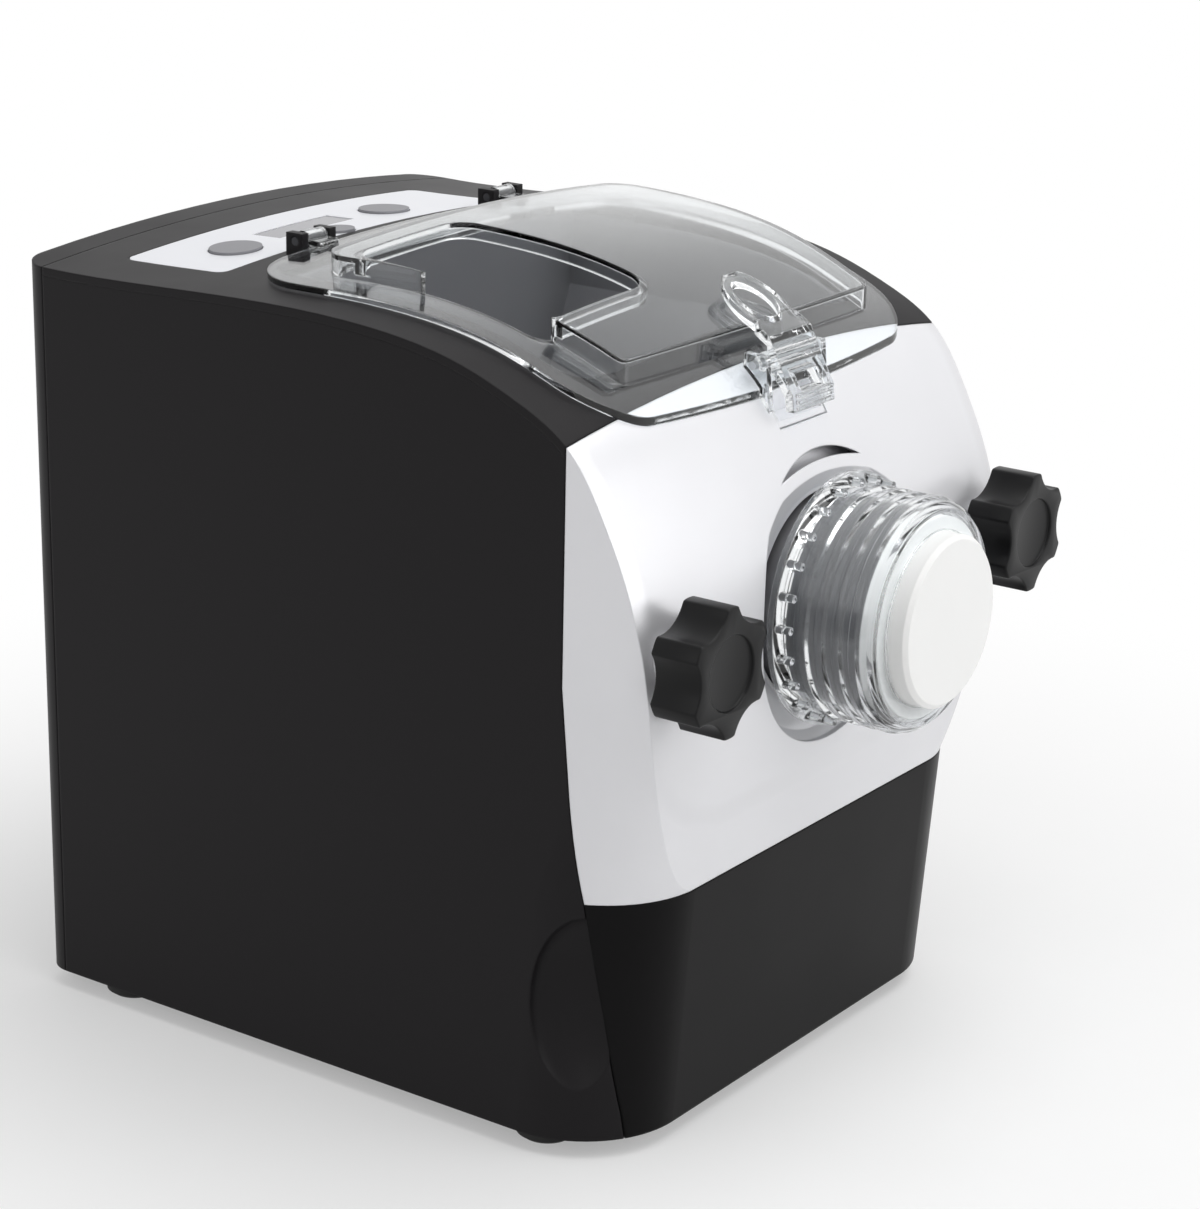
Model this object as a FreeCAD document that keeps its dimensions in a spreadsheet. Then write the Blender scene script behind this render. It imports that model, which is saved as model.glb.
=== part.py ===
import FreeCAD, Part
import math
import os
import re

import Sketcher
from FreeCAD import Placement, Rotation, Vector

doc = FreeCAD.newDocument("pasta_maker")

# Driving dimensions in millimetres. Front is -Y, +Z is up and X = 0 is the middle plane.
SIZES = {
    "half_width": 115, "foot_height": 7, "wall_t": 3, "fit_gap": 0.4,
    "rear_seam_y": 147, "rear_face_y": 159, "rear_corner": 12,
    "belt_z": 95, "belt_front_y": -110, "front_corner": 38, "toe_set_back": 7, "brow_lean": 0.342,
    "deck_z": 277.5, "deck_crown": 6.5,
    "axis_z": 179, "knob_x": 100, "knob_z": 183,
    "barrel_r": 36, "barrel_front_y": -144, "bore_r": 27, "dish_r": 51, "dish_floor_y": -105,
    "nut_r": 41, "nut_flange_r": 44.5, "nut_back_y": -114, "nut_front_y": -152,
    "disc_r": 30, "disc_face_y": -159,
    "knob_r": 22, "knob_back_y": -119, "knob_face_y": -136.5, "stud_r": 4, "stud_pitch": 1.25,
    "lid_half_width": 101, "lid_rear_y": 69.4, "lid_front_y": -84, "lid_bow": 8, "lid_rise": 10,
    "lid_wall": 2.2, "hinge_y": 74, "hinge_z": 287.5, "latch_y": -89.5, "latch_z": 260.5,
    "trough_r": 54, "chamber_rear_y": 62, "chamber_front_y": -64, "chamber_wall": 2.5,
    "drawer_rear_y": -6, "drawer_top_z": 91,
    "motor_z": 74, "motor_r": 34, "motor_front_y": 6, "motor_rear_y": 84,
    "fast_module": 1.25, "slow_module": 1.75, "pinion_teeth": 14, "wheel_teeth": 56,
    "gear_front_y": 92, "gear_rear_y": 132, "panel_x": -12, "panel_y": 105,
}

sheet = doc.addObject("Spreadsheet::Sheet", "sizes")
for row, (alias, number) in enumerate(SIZES.items(), start=1):
    sheet.set("A%d" % row, alias)
    sheet.set("B%d" % row, str(number))
    sheet.setAlias("B%d" % row, alias)
doc.recompute()

PARTS = []


def linked(text):
    """An expression with each driving dimension's name turned into its cell in the sheet."""
    names = r"\b(" + "|".join(sorted(SIZES, key=len, reverse=True)) + r")\b"
    return re.sub(names, r"sizes.\1", str(text))


def val(text):
    """The present value of an expression, in millimetres."""
    result = sheet.evalExpression(linked(text))
    return float(getattr(result, "Value", result))


def bind(item, **expressions):
    for prop, text in expressions.items():
        item.setExpression(prop, linked(text))
    return item


def put(item, x, y, z):
    """Binds where an object stands to the sheet."""
    for axis, text in zip("xyz", (x, y, z)):
        item.setExpression("Placement.Base." + axis, linked(text))
    return item


def keep(item, label):
    """Marks an object as a finished piece of the machine."""
    item.Label = label
    PARTS.append(item)
    return item


def box(x, y, z, dx, dy, dz):
    """A block from its low corner and its three lengths, all of them expressions."""
    item = doc.addObject("Part::Box", "block")
    bind(item, Length=dx, Width=dy, Height=dz)
    return put(item, x, y, z)


TURN = {
    "X": Rotation(Vector(0, 1, 0), 90),
    "Y": Rotation(Vector(1, 0, 0), -90),
    "-Y": Rotation(Vector(1, 0, 0), 90),
    "Z": Rotation(),
}


def rod(x, y, z, axis, radius, length):
    """A round bar that starts at a point and runs along an axis."""
    item = doc.addObject("Part::Cylinder", "rod")
    item.Placement = Placement(Vector(), TURN[axis])
    bind(item, Radius=radius, Height=length)
    return put(item, x, y, z)


def cut(base, *tools):
    for tool in tools:
        item = doc.addObject("Part::Cut", "cut")
        item.Base = base
        item.Tool = tool
        base = item
    return base


def common(first, second):
    item = doc.addObject("Part::Common", "common")
    item.Base = first
    item.Tool = second
    return item


def fuse(*items):
    item = doc.addObject("Part::MultiFuse", "fuse")
    item.Shapes = list(items)
    return item


def plain(shape, name="solid"):
    """An object whose shape is worked out here from the sheet's sizes."""
    item = doc.addObject("Part::Feature", name)
    item.Shape = shape
    return item


def origin_plane(body, role):
    return [feature for feature in body.Origin.OriginFeatures if feature.Role == role][0]


def polygon_sketch(body, role, points):
    """A closed outline whose corners are bound to the sheet."""
    sketch = body.newObject("Sketcher::SketchObject", "outline")
    sketch.AttachmentSupport = [(origin_plane(body, role), "")]
    sketch.MapMode = "FlatFace"
    corners = [Vector(val(a), val(b), 0) for a, b in points]
    count = len(corners)
    for i in range(count):
        sketch.addGeometry(Part.LineSegment(corners[i], corners[(i + 1) % count]), False)
    for i in range(count):
        sketch.addConstraint(Sketcher.Constraint("Coincident", i, 2, (i + 1) % count, 1))
    for i, (a, b) in enumerate(points):
        for kind, text, number in (("DistanceX", a, corners[i].x), ("DistanceY", b, corners[i].y)):
            index = sketch.addConstraint(Sketcher.Constraint(kind, -1, 1, i, 1, number))
            sketch.setExpression("Constraints[%d]" % index, linked(text))
    return sketch


def turned(label, points, x, y, z, axis):
    """A turned piece: radius and height pairs spun round its own axis, then stood in place."""
    body = doc.addObject("PartDesign::Body", "turned")
    sketch = polygon_sketch(body, "XZ_Plane", points)
    spin = body.newObject("PartDesign::Revolution", "spin")
    spin.Profile = sketch
    spin.ReferenceAxis = (sketch, ["V_Axis"])
    spin.Angle = 360
    body.Tip = spin
    body.Placement = Placement(Vector(), TURN[axis])
    put(body, x, y, z)
    if label:
        keep(body, label)
    return body


def prism(role, points, length, x="0", y="0", z="0"):
    """An outline pushed out along its plane's normal, as much each way."""
    body = doc.addObject("PartDesign::Body", "prism")
    sketch = polygon_sketch(body, role, points)
    pad = body.newObject("PartDesign::Pad", "pad")
    pad.Profile = sketch
    pad.Midplane = True
    bind(pad, Length=length)
    body.Tip = pad
    return put(body, x, y, z)


def rounded(item, radius, pick):
    """Rounds the edges of an object that a test on each edge picks."""
    doc.recompute()
    edges = [i for i, edge in enumerate(item.Shape.Edges, start=1) if pick(edge)]
    fillet = doc.addObject("Part::Fillet", "round")
    fillet.Base = item
    fillet.Edges = [(i, radius, radius) for i in edges]
    return fillet


def upright(edge):
    """True for a straight edge along Z."""
    run = edge.Vertexes[-1].Point - edge.Vertexes[0].Point
    return abs(run.x) < 0.01 and abs(run.y) < 0.01 and abs(run.z) > 1


# Outer form: one curve over the deck and down the front, crowned across the width.
def brow_curve():
    """The middle line of the skin from the rear of the deck to the foot of the front."""
    deck = val("deck_z")
    stations = [
        (val("rear_face_y + 8"), deck), (85, deck), (5, deck), (-38.6, deck - 7), (-62, deck - 15.8),
        (-81, 250.6), (-95.5, 230), (-105, 210), (-111, 190), (-112.6, 160),
        (val("belt_front_y"), val("belt_z")), (val("belt_front_y + toe_set_back"), 0), (-102, -14),
    ]
    curve = Part.BSplineCurve()
    curve.interpolate([Vector(0, y, z) for y, z in stations])
    return curve


def inner_of(offset):
    """Solid under the crowned skin, moved in by an offset, or out where it is negative."""
    curve = brow_curve()
    half = val("half_width + 12")
    steps = 60
    columns = 12
    rows = []
    for i in range(steps + 1):
        at = curve.FirstParameter + (curve.LastParameter - curve.FirstParameter) * i / steps
        point = curve.value(at)
        run = curve.tangent(at)[0]
        normal = Vector(0, run.z, -run.y)
        if normal.z < 0 and abs(normal.z) > abs(normal.y):
            normal = -normal
        if normal.y > 0 and abs(normal.y) > abs(normal.z):
            normal = -normal
        fade = min(1.0, max(0.0, (point.z - val("belt_z")) / 110))
        crown = val("deck_crown") * fade * fade * (3 - 2 * fade)
        row = []
        for j in range(columns + 1):
            x = -half + 2 * half * j / columns
            bulge = crown * (1 - (x / val("half_width")) ** 2)
            spot = point + normal * (bulge - offset)
            row.append(Vector(x, spot.y, spot.z))
        rows.append(row)
    surface = Part.BSplineSurface()
    surface.interpolate(rows)
    solid = surface.toShape().extrude(Vector(0, 330, -330))
    if solid.Volume < 0:
        solid.reverse()
    return plain(solid, "skin")


def rounded_plan(offset, z, front, rear, lean, depth):
    """The plan outline with round corners, run along a leaning line; front corners or rear ones."""
    w = val("half_width") - offset
    rf = val("front_corner") - offset if front else 0
    rr = val("rear_corner") - offset if rear else 0
    y0 = val("belt_front_y") + offset if front else -260
    y1 = val("rear_face_y") - offset if rear else 380
    edges = []
    spots = [(-w, y1 - rr), (-w, y0 + rf)]
    edges.append(Part.LineSegment(Vector(*spots[0], z), Vector(*spots[1], z)).toShape())

    def arc(cx, cy, r, start):
        angles = (start, start + math.pi / 4, start + math.pi / 2)
        ends = [Vector(cx + r * math.cos(a), cy + r * math.sin(a), z) for a in angles]
        return Part.Arc(*ends).toShape()

    if rf:
        edges.append(arc(-w + rf, y0 + rf, rf, math.pi))
    edges.append(Part.LineSegment(Vector(-w + rf, y0, z), Vector(w - rf, y0, z)).toShape())
    if rf:
        edges.append(arc(w - rf, y0 + rf, rf, 1.5 * math.pi))
    edges.append(Part.LineSegment(Vector(w, y0 + rf, z), Vector(w, y1 - rr, z)).toShape())
    if rr:
        edges.append(arc(w - rr, y1 - rr, rr, 0))
    edges.append(Part.LineSegment(Vector(w - rr, y1, z), Vector(-w + rr, y1, z)).toShape())
    if rr:
        edges.append(arc(-w + rr, y1 - rr, rr, math.pi / 2))
    wire = Part.Wire(Part.__sortEdges__(edges))
    return Part.Face(wire).extrude(Vector(0, lean * depth, depth))


def body_form(offset):
    """The whole outer form moved in by an offset, above the foot line."""
    belt = val("belt_z")
    low = val("foot_height") + offset
    toe = val("toe_set_back") / belt
    high_front = rounded_plan(offset, belt, True, False, -val("brow_lean"), 260)
    low_front = rounded_plan(offset, belt, True, False, -toe, -belt - 5)
    front = high_front.fuse(low_front)
    rear = rounded_plan(offset, low, False, True, 0, 320)
    shape = inner_of(offset).Shape.common(rear).common(front)
    return plain(shape.Solids[0], "form")


def lid_plan(rear_half, front_half, rear_y, front_y, bow, rear_r, front_r):
    """Upright block with a bowed front and round corners, the lid's plan."""
    corners = [Vector(-rear_half, rear_y, 200), Vector(-front_half, front_y, 200),
               Vector(front_half, front_y, 200), Vector(rear_half, rear_y, 200)]
    front = Part.Arc(corners[1], Vector(0, front_y - bow, 200), corners[2]).toShape()
    edges = [Part.LineSegment(corners[0], corners[1]).toShape(), front,
             Part.LineSegment(corners[2], corners[3]).toShape(),
             Part.LineSegment(corners[3], corners[0]).toShape()]
    solid = Part.Face(Part.Wire(edges)).extrude(Vector(0, 0, 120))
    for radius, low in ((front_r, True), (rear_r, False)):
        middle = (rear_y + front_y) / 2
        picked = [e for e in solid.Edges if upright(e) and (e.Vertexes[0].Y < middle) == low
                  and min(abs(e.Vertexes[0].X - c.x) + abs(e.Vertexes[0].Y - c.y) for c in corners) < 1]
        solid = solid.makeFillet(radius, picked)
    return plain(solid, "plan")


form_outer = body_form(0)
form_inner = body_form(val("wall_t"))
deck_inner = inner_of(val("wall_t"))
shell = cut(form_outer, form_inner)

# The seam between the black sides and the silver front, seen from the side.
SEAM = [("-81", "300"), ("-81", "170"), ("-84.5", "134"), ("-88.6", "belt_z"), ("-93.5", "54"),
        ("-97", "16"), ("-98", "-5"), ("-200", "-5"), ("-200", "300")]
front_zone = prism("YZ_Plane", SEAM, "2 * half_width + 60")
front_zone_clear = prism("YZ_Plane", SEAM, "2 * half_width + 60", y="-fit_gap")
rear_zone = box("-200", "rear_seam_y", "-20", "400", "60", "400")

# Middle of the finger hollows beside the drawer.
GRIP_Y = "-100"
GRIP_Z = "57"


def scoop(side, grow):
    """An oval hollow beside the drawer front, for the fingers."""
    item = doc.addObject("Part::Ellipsoid", "scoop")
    item.Angle1 = -90
    item.Angle2 = 90
    item.Angle3 = 360
    bind(item, Radius1=str(38 + grow), Radius2=str(14 + grow), Radius3=str(30 + grow))
    return put(item, "%d * half_width" % side, GRIP_Y, GRIP_Z)


def side_panel(side, label):
    x = "-half_width - 15" if side < 0 else "half_width - 20"
    half = box(x, "-200", "-20", "35", "400", "400")
    wall = cut(common(common(shell, deck_inner), half), front_zone, rear_zone, scoop(side, 0))
    cup = cut(common(scoop(side, 2), form_inner), scoop(side, 0), front_zone)
    foot_line = box("-200", "-200", "-20", "400", "400", "foot_height + wall_t + 20")
    cup = cut(cup, foot_line)
    return keep(fuse(wall, cup), label)


side_panel(-1, "side_panel_left")
side_panel(1, "side_panel_right")

# Deck, control panel and lid opening.
PANEL_HALF = "81"
panel_block = box("panel_x - " + PANEL_HALF, "panel_y - 23", "240", "2 * " + PANEL_HALF, "46", "80")
panel_zone = rounded(panel_block, 4, upright)
panel_hole_block = box("panel_x - %s - 0.2" % PANEL_HALF, "panel_y - 23.2", "240",
                       "2 * %s + 0.4" % PANEL_HALF, "46.4", "80")
panel_hole = rounded(panel_hole_block, 4, upright)
mouth_block = box("-90", "-67", "200", "180", "133", "120")
mouth = rounded(mouth_block, 12, upright)
panel_seat = inner_of(1.4)
panel_under = inner_of(1.2)

BUTTONS = {"button_left": ("-65", "101", 9.5), "button_right": ("18", "101", 9.5),
           "button_middle": ("-24", "88", 6.0)}
DISPLAY = ("-44.5", "98", "41", "13")


def button_bores(spare):
    return [rod(x, y, "250", "Z", str(r + spare), "60") for x, y, r in BUTTONS.values()]


display_hole = box(DISPLAY[0] + " - 0.2", DISPLAY[1] + " - 0.2", "250", DISPLAY[2] + " + 0.4",
                   DISPLAY[3] + " + 0.4", "60")
deck_layer = cut(form_outer, deck_inner)
deck = cut(deck_layer, front_zone, rear_zone, mouth)
deck = cut(deck, cut(panel_hole, panel_seat), display_hole, *button_bores(1.0))
bosses = []
HINGE_X = ("-55", "55")
for x in HINGE_X:
    for shift in ("-9.2", "5.6"):
        post = box(x + " + " + shift, "hinge_y - 3.2", "deck_z - 2", "3.6", "7.2", "hinge_z - deck_z + 4.9")
        bosses.append(post)
hinge_bores = [rod(x + " - 12", "hinge_y", "hinge_z", "X", "1.55", "24") for x in HINGE_X]
keep(cut(fuse(deck, *[cut(post, deck_inner) for post in bosses]), *hinge_bores), "top_deck")

panel_plate = common(cut(form_outer, panel_under), panel_zone)
keep(cut(panel_plate, display_hole, *button_bores(0.35)), "control_panel")
window_zone = box(*DISPLAY[:2], "250", *DISPLAY[2:], "60")
keep(common(cut(inner_of(0.2), inner_of(1.6)), window_zone), "display_window")
keep(box("-48", "96", "deck_z - 4.6", "48", "18", "4.2"), "display_module")
keep(box("-86", "84", "deck_z - 13", "150", "42", "1.6"), "control_board")
for label, (x, y, r) in BUTTONS.items():
    stem = rod(x, y, "deck_z - 9.4", "Z", str(r * 0.5), "11.4")
    cap = common(rod(x, y, "deck_z + 1", "Z", str(r), "20"), inner_of(-0.9))
    keep(fuse(stem, cap), label)

keep(fuse(*[rod(x, y, "deck_z - 11.4", "Z", "2.6", "1") for x, y, r in BUTTONS.values()]), "button_switches")

# Rear cover with its vents and the socket for the mains lead.
cover = common(shell, box("-200", "rear_seam_y + 0.3", "-20", "400", "60", "400"))
vents = [box("-45", "rear_face_y - 10", "%d" % (60 + 9 * i), "90", "20", "4") for i in range(8)]
socket_hole = box("56", "rear_face_y - 12", "28", "28", "20", "20")
keep(cut(cover, socket_hole, *vents), "rear_cover")
inlet_body = box("56.3", "rear_face_y - 26", "28.3", "27.4", "26", "19.4")
inlet_well = box("59.3", "rear_face_y - 18", "31.3", "21.4", "24", "13.4")
pins = [rod(x, "rear_face_y - 18.5", "38", "Y", "1.5", "14") for x in ("64", "76")]
keep(fuse(cut(inlet_body, inlet_well), *pins), "power_inlet")

# Silver front with its dish, its holes and the notch behind the lid latch.
above_belt = box("-200", "-260", "belt_z + 0.3", "400", "300", "300")
front_skin = common(common(shell, front_zone_clear), above_belt)
dish_hole = rod("0", "-60", "axis_z", "-Y", "dish_r", "80")
dish_wall = turned(None, [("barrel_r + 0.6", "0"), ("barrel_r + 4", "0"), ("dish_r + 2.5", "4"),
                          ("dish_r + 2.5", "50"), ("dish_r", "50"), ("dish_r", "8.5"), ("dish_r - 3", "5.6"),
                          ("barrel_r + 2", "2.5"), ("barrel_r + 0.6", "2.5")],
                   "0", "dish_floor_y + 2.5", "axis_z", "-Y")
front = fuse(cut(front_skin, dish_hole), common(dish_wall, form_outer))
for x in ("-knob_x", "knob_x"):
    lip = rod(x, "-102", "knob_z", "-Y", "9", "-knob_back_y - 102 - 1.9")
    front = cut(fuse(front, lip), rod(x, "-60", "knob_z", "-Y", "stud_r + 0.8", "80"))
notch = box("-15", "-120", "238.6", "30", "60", "60")
keep(cut(front, notch), "front_fascia")
strike_block = box("-14.6", "-100", "239", "29.2", "18.3", "24")
strike_pocket = box("-13.6", "-110", "241", "27.2", "22.4", "30")
keep(cut(common(strike_block, inner_of(0.3)), strike_pocket), "latch_strike")

# Storage drawer: front, tray and its runners.
below_belt = box("-200", "-260", "-20", "400", "300", "belt_z + 20")
keep(common(common(shell, front_zone_clear), below_belt), "drawer_front")
tray_block = box("-84", "-96", "14", "168", "drawer_rear_y + 96", "drawer_top_z - 16")
tray_well = box("-82", "-94", "16", "164", "drawer_rear_y + 92", "90")
neck = box("-70", "-107", "14", "140", "11", "40")
keep(cut(fuse(rounded(tray_block, 10, upright), common(neck, form_inner)), tray_well), "drawer_tray")
keep(fuse(*[box(x, "-88", "10", "4.6", "86", "14") for x in ("-89", "84.4")]), "drawer_runners")

# Base, feet and the screws that hold it.
tray_plate = box("-94.6", "-92", "foot_height", "189.2", "rear_seam_y + 91.6", "wall_t")
keep(tray_plate, "base_plate")
FEET = {"foot_rear_left": ("-95 - 4", "126"), "foot_rear_right": ("95 + 4", "126"),
        "foot_front_left": ("-98", "-66"), "foot_front_right": ("98", "-66")}
for label, (x, y) in FEET.items():
    turned(label, [("0", "0"), ("9", "0"), ("11", "1.5"), ("11.5", "foot_height"), ("0", "foot_height")],
           x, y, "0", "Z")
screw_heads = [rod(x, y, "foot_height - 2.2", "Z", "3.5", "2.2") for x in ("-70", "70") for y in ("-70", "130")]

# Mixing chamber: a round trough with flared sides, open at the top.
span = "chamber_rear_y - chamber_front_y"
mid_y = "( chamber_rear_y + chamber_front_y ) / 2"


def trough(grow, ends):
    """The trough's section carried from end to end, larger by grow on every side."""
    run = span + " + %s" % (2 * ends)
    bar = rod("0", "chamber_front_y - %s" % ends, "axis_z", "Y", "trough_r + %s" % grow, run)
    flare = prism("XZ_Plane", [("-trough_r - %s" % grow, "axis_z"), ("-84 - %s" % grow, "250"),
                               ("-84 - %s" % grow, "300"), ("84 + %s" % grow, "300"),
                               ("84 + %s" % grow, "250"), ("trough_r + %s" % grow, "axis_z")],
                  run, y=mid_y)
    return fuse(bar, flare)


chamber = cut(common(trough(2.5, 2.5), inner_of(5)), trough(0, 0))
port = rod("0", "chamber_front_y + 10", "axis_z", "-Y", "bore_r + 2", "20")
drive_hole = rod("0", "chamber_rear_y - 10", "axis_z", "Y", "9.05", "20")
keep(cut(chamber, port, drive_hole), "mixing_chamber")
frame_plate = box("-108", "-76", "118", "216", "6", "112")
frame_bore = rod("0", "-60", "axis_z", "-Y", "bore_r + 2", "30")
stud_bores = [rod(x, "-60", "knob_z", "-Y", "stud_r", "30") for x in ("-knob_x", "knob_x")]
keep(cut(common(rounded(frame_plate, 2, upright), inner_of(6)), frame_bore, *stud_bores), "front_frame")
keep(fuse(*[rod(x, "-70", "knob_z", "-Y", "stud_r", "63") for x in ("-knob_x", "knob_x")]), "front_studs")

# Extrusion barrel: flange, tube and thread rings.
thread = []
for i in range(3):
    at = "%d" % (43 + 8 * i)
    thread += [("barrel_r - 1.5", at), ("barrel_r", "%s + 1" % at), ("barrel_r", "%s + 2.5" % at),
               ("barrel_r - 1.5", "%s + 3.5" % at)]
turned("extrusion_barrel",
       [("bore_r", "-9.5"), ("bore_r + 2", "-9.5"), ("bore_r + 2", "0"), ("barrel_r + 8", "0"),
        ("barrel_r + 8", "6"), ("barrel_r - 1.5", "6")] + thread
       + [("barrel_r - 1.5", "-barrel_front_y - 76"), ("bore_r", "-barrel_front_y - 76")],
       "0", "-76", "axis_z", "-Y")

# Shaping disc and the clear nut that holds it.
turned("shaping_disc",
       [("0", "0"), ("barrel_r - 1", "0"), ("barrel_r - 1", "5.3"), ("disc_r", "5.3"), ("disc_r", "13.2"),
        ("disc_r - 1.5", "-disc_face_y + barrel_front_y - 0.3"), ("0", "-disc_face_y + barrel_front_y - 0.3")],
       "0", "barrel_front_y - 0.3", "axis_z", "-Y")
rings = []
for i in range(4):
    at = "%.1f" % (9 + 6.5 * i)
    rings += [("nut_r - 1.2", at), ("nut_r", "%s + 1" % at), ("nut_r", "%s + 3.4" % at),
              ("nut_r - 1.2", "%s + 4.4" % at)]
nut_body = turned(None,
                  [("barrel_r + 0.4", "0"), ("nut_flange_r", "0"), ("nut_flange_r", "2.2"),
                   ("nut_r - 1.2", "4.5")] + rings
                  + [("nut_r - 1.2", "nut_back_y - nut_front_y - 2.4"), ("nut_r - 3.4", "nut_back_y - nut_front_y"),
                     ("disc_r + 0.5", "nut_back_y - nut_front_y"), ("disc_r + 0.5", "35.8"),
                     ("barrel_r + 0.4", "35.8")],
                  "0", "nut_back_y", "axis_z", "-Y")
grips = []
for i in range(24):
    angle = 2 * math.pi * i / 24
    reach = val("nut_flange_r") - 2.4
    grips.append(rod("%.3f" % (reach * math.cos(angle)), "nut_back_y - 1",
                     "axis_z + %.3f" % (reach * math.sin(angle)), "-Y", "1.5", "7"))
keep(fuse(nut_body, *grips), "die_nut")

# Star knobs: six lobes, a dished face, a brass thread and a steel washer.
SCALLOPS = 6
SCALLOP_RING = 31
SCALLOP_R = "13.5"
for label, x in (("left", "-knob_x"), ("right", "knob_x")):
    length = "knob_back_y - knob_face_y"
    blank = turned(None, [("4.6", "0"), ("knob_r - 2", "0"), ("knob_r", "2"), ("knob_r", length + " - 3"),
                          ("knob_r - 2.5", length), ("14", length), ("11", length + " - 1.6"),
                          ("0", length + " - 1.6"), ("0", "15"), ("4.6", "15")],
                   x, "knob_back_y", "knob_z", "-Y")
    scallops = []
    for i in range(SCALLOPS):
        angle = 2 * math.pi * i / SCALLOPS
        scallops.append(rod("%s + %.3f" % (x, SCALLOP_RING * math.cos(angle)), "knob_back_y + 5",
                            "knob_z + %.3f" % (SCALLOP_RING * math.sin(angle)), "-Y", SCALLOP_R, "40"))
    sleeve = rod(x, "knob_back_y + 1", "knob_z", "-Y", "6.2", "13")
    bore = rod(x, "knob_back_y + 2", "knob_z", "-Y", "stud_r + 0.4", "17")
    keep(cut(blank, sleeve, *scallops), "knob_" + label)
    brass = rod(x, "knob_back_y", "knob_z", "-Y", "6.2", "12")
    keep(cut(brass, bore), "knob_insert_" + label)
    turned("knob_washer_" + label, [("stud_r + 0.3", "0"), ("10", "0"), ("10", "1.4"), ("stud_r + 0.3", "1.4")],
           x, "knob_back_y + 1.7", "knob_z", "-Y")

# Clear lid: flange, raised box, pour opening, hinge knuckles and latch ears.
reach = val("lid_half_width")
rear_y = val("lid_rear_y")
front_y = val("lid_front_y")
bow = val("lid_bow")
wall = val("lid_wall")
rise = val("lid_rise")
flange_plan = lid_plan(reach, reach - 4, rear_y, front_y, bow, 26, 26)
raised_plan = lid_plan(88, 77, rear_y - 26, front_y + 8, 4, 10, 4)
hollow_plan = lid_plan(88 - wall, 77 - wall, rear_y - 26 - wall, front_y + 8 + wall, 4, 8, 2)
sheet_skin = cut(inner_of(-0.5 - wall), inner_of(-0.5))
flange = cut(common(sheet_skin, flange_plan), raised_plan)
raised = common(cut(inner_of(-rise), inner_of(-0.5)), raised_plan)
raised = cut(raised, common(inner_of(wall - rise), hollow_plan))
pour = rounded(box("-84", "-50", "200", "59", "82", "150"), 9, upright)
collar = rounded(box("-86", "-52", "200", "63", "86", "150"), 10, upright)
collar_ring = common(cut(inner_of(-rise), inner_of(-rise + 6)), common(collar, raised_plan))
lid = cut(fuse(flange, fuse(raised, collar_ring)), pour)
ears = []
for x in HINGE_X:
    knuckle = rod(x + " - 5", "hinge_y", "hinge_z", "X", "3.2", "10")
    web = box(x + " - 5", "hinge_y - 8", "hinge_z - 3.2", "10", "8", "3.4")
    ears += [knuckle, cut(web, inner_of(-0.5))]
for x in ("-19", "16"):
    ear = prism("YZ_Plane", [("-84.5", "246"), ("-96", "240.5"), ("-93.5", "latch_z + 3"), ("-85", "latch_z + 3.6")],
                "3", x=x + " + 1.5")
    ears.append(cut(ear, inner_of(-1.0)))
latch_way = box("-14.4", "-104", "232", "28.8", "13", "25")
pin_ways = [rod(x + " - 12", "hinge_y", "hinge_z", "X", "1.55", "24") for x in HINGE_X]
latch_bore = rod("-25", "latch_y", "latch_z", "X", "1.6", "50")
keep(cut(fuse(cut(lid, latch_way), *ears), latch_bore, *pin_ways), "lid")
keep(fuse(*[rod(x + " - 9.2", "hinge_y", "hinge_z", "X", "1.5", "18.4") for x in HINGE_X]), "hinge_pins")
keep(rod("-21", "latch_y", "latch_z", "X", "1.5", "42"), "latch_pin")

# Latch lever: a finger loop over the lid, a round boss on the pin and a ribbed clip below.
LEVER_WIDTH = "26"
lever_side = [("-90", "latch_z + 5.5"), ("-64.5", "282.5"), ("-65.6", "285.3"), ("-91", "latch_z + 9"),
              ("-97.5", "256.5"), ("-101", "250.5"), ("-101.8", "244.5"), ("-98.8", "244.5"), ("-98", "249.5"),
              ("-95.6", "253"), ("-91.6", "latch_z - 3")]
lever_round = doc.addObject("Part::Ellipsoid", "lever_round")
bind(lever_round, Radius1="120", Radius2="12.5", Radius3="14")
lever_round.Angle1 = -90
lever_round.Angle2 = 90
lever_round.Angle3 = 360
put(lever_round, "0", "-78.6", "276")
lever_plan = fuse(lever_round, box("-13", "-110", "230", LEVER_WIDTH, "25", "60"))
lever_arm = common(prism("YZ_Plane", lever_side, LEVER_WIDTH), lever_plan)
lever = fuse(lever_arm, rod("-13", "latch_y", "latch_z", "X", "3.4", LEVER_WIDTH))
loop_hole = doc.addObject("Part::Ellipsoid", "loop_hole")
bind(loop_hole, Radius1="40", Radius2="8.6", Radius3="8.4")
loop_hole.Angle1 = -90
loop_hole.Angle2 = 90
loop_hole.Angle3 = 360
put(loop_hole, "0", "-76.4", "276")
lever_bore = rod("-25", "latch_y", "latch_z", "X", "1.53", "50")
middle_window = box("-7", "-110", "251", "14", "30", "5.5")
ribs = [box("-11", "-102.6", "%.1f" % (245.2 + 2.1 * i), "22", "2.2", "1.1") for i in range(3)]
keep(cut(fuse(lever, *ribs), loop_hole, lever_bore, middle_window), "latch_lever")

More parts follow.
